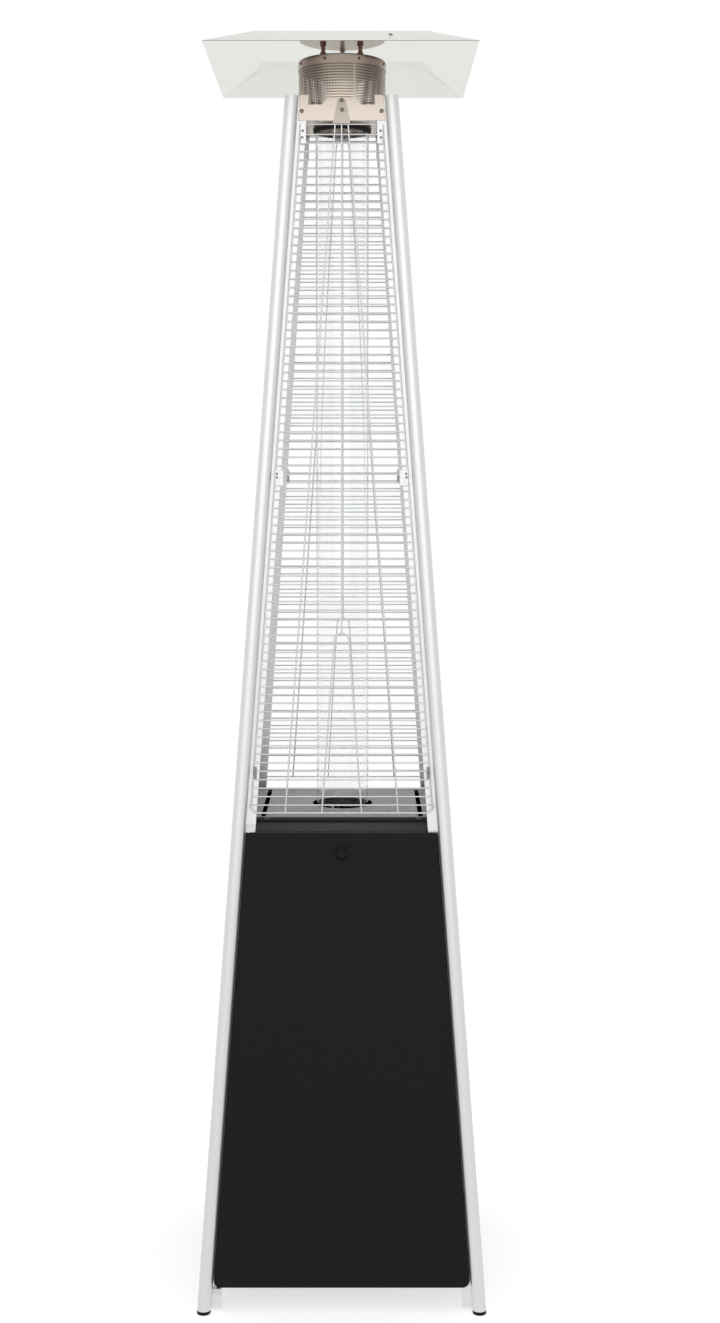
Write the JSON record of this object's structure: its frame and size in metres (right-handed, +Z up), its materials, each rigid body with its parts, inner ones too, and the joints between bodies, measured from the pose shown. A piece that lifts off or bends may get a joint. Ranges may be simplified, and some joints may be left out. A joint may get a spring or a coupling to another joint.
{
  "type": "gas patio heater",
  "caption": "Tall pyramid patio heater: four leaning posts hold a glass flame tube behind wire guards, over a cabinet for a gas bottle and under a square reflector.",
  "frame": {"origin": "on the floor, under the axis of the glass tube, midway between the four feet", "axes": "+Z up along the tube's axis, front with the door and the control knob towards -Y, +X to the right as seen from the front"},
  "size_m": [0.5248, 0.5248, 2.2987],
  "materials": {
    "anodised_aluminium": "satin anodised",
    "black_powder_coat": "satin black powder coat",
    "galvanised_steel": "dull zinc grey",
    "bright_wire": "bright plated",
    "stainless_steel": "satin",
    "tempered_stainless_steel": "heat-tinted satin",
    "mirror_aluminium": "polished",
    "quartz_glass": "clear",
    "silicone_rubber": "matte black",
    "black_plastic": "moulded black",
    "brass": "turned",
    "ceramic": "glazed white",
    "cast_burner_steel": "sooted"
  },
  "bodies": {
    "heater": {"post_front_left": "anodised_aluminium", "post_front_right": "anodised_aluminium", "post_rear_right": "anodised_aluminium", "post_rear_left": "anodised_aluminium", "foot_front_left": "black_plastic", "foot_front_right": "black_plastic", "foot_rear_right": "black_plastic", "foot_rear_left": "black_plastic", "side_panel_right": "black_powder_coat", "side_panel_left": "black_powder_coat", "rear_panel": "black_powder_coat", "door_pivot_upper": "stainless_steel", "door_pivot_lower": "stainless_steel", "door_catch": "black_plastic", "bottle_shelf": "galvanised_steel", "burner_box": "black_powder_coat", "burner_deck": "galvanised_steel", "tube_seat": "stainless_steel", "tube_seal_lower": "silicone_rubber", "glass_tube": "quartz_glass", "tube_seal_upper": "silicone_rubber", "burner_head": "cast_burner_steel", "mixing_tube": "stainless_steel", "gas_pipe": "brass", "pilot_light": "brass", "spark_pin": "ceramic", "flame_sensor": "stainless_steel", "gas_valve": "brass", "tilt_switch": "black_plastic", "guard_lower_front": "bright_wire", "guard_lower_right": "bright_wire", "guard_lower_rear": "bright_wire", "guard_lower_left": "bright_wire", "guard_upper_front": "bright_wire", "guard_upper_right": "bright_wire", "guard_upper_rear": "bright_wire", "guard_upper_left": "bright_wire", "guard_lower_front_uprights": "bright_wire", "guard_lower_right_uprights": "bright_wire", "guard_lower_rear_uprights": "bright_wire", "guard_lower_left_uprights": "bright_wire", "guard_upper_front_uprights": "bright_wire", "guard_upper_right_uprights": "bright_wire", "guard_upper_rear_uprights": "bright_wire", "guard_upper_left_uprights": "bright_wire", "top_frame": "stainless_steel", "hook_plate_front": "stainless_steel", "hook_plate_right": "stainless_steel", "hook_plate_rear": "stainless_steel", "hook_plate_left": "stainless_steel", "emitter_drum": "tempered_stainless_steel", "emitter_lid": "tempered_stainless_steel", "stud_left": "tempered_stainless_steel", "stud_right": "tempered_stainless_steel", "stud_rear": "tempered_stainless_steel", "reflector": "mirror_aluminium"},
    "door": {"front_panel": "black_powder_coat"},
    "spindle": {"valve_spindle": "brass"},
    "knob": {"control_knob": "black_plastic"}
  },
  "joints": [
    {"name": "door_hinge", "type": "hinge", "parent": "heater", "child": "door", "pos_m": [-0.22826, -0.24496, 0.0446], "axis": [-0.0723, -0.0723, -0.9948], "range_deg": [0, 100]},
    {"name": "spindle_press", "type": "slide", "parent": "heater", "child": "spindle", "axis": [0, 0.9974, -0.0724], "range_m": [0, 0.004], "stiffness_N_per_m": 900},
    {"name": "knob_turn", "type": "hinge", "parent": "spindle", "child": "knob", "pos_m": [0, -0.19075, 0.83359], "axis": [0, -0.9974, 0.0724], "range_deg": [0, 180]}
  ]
}
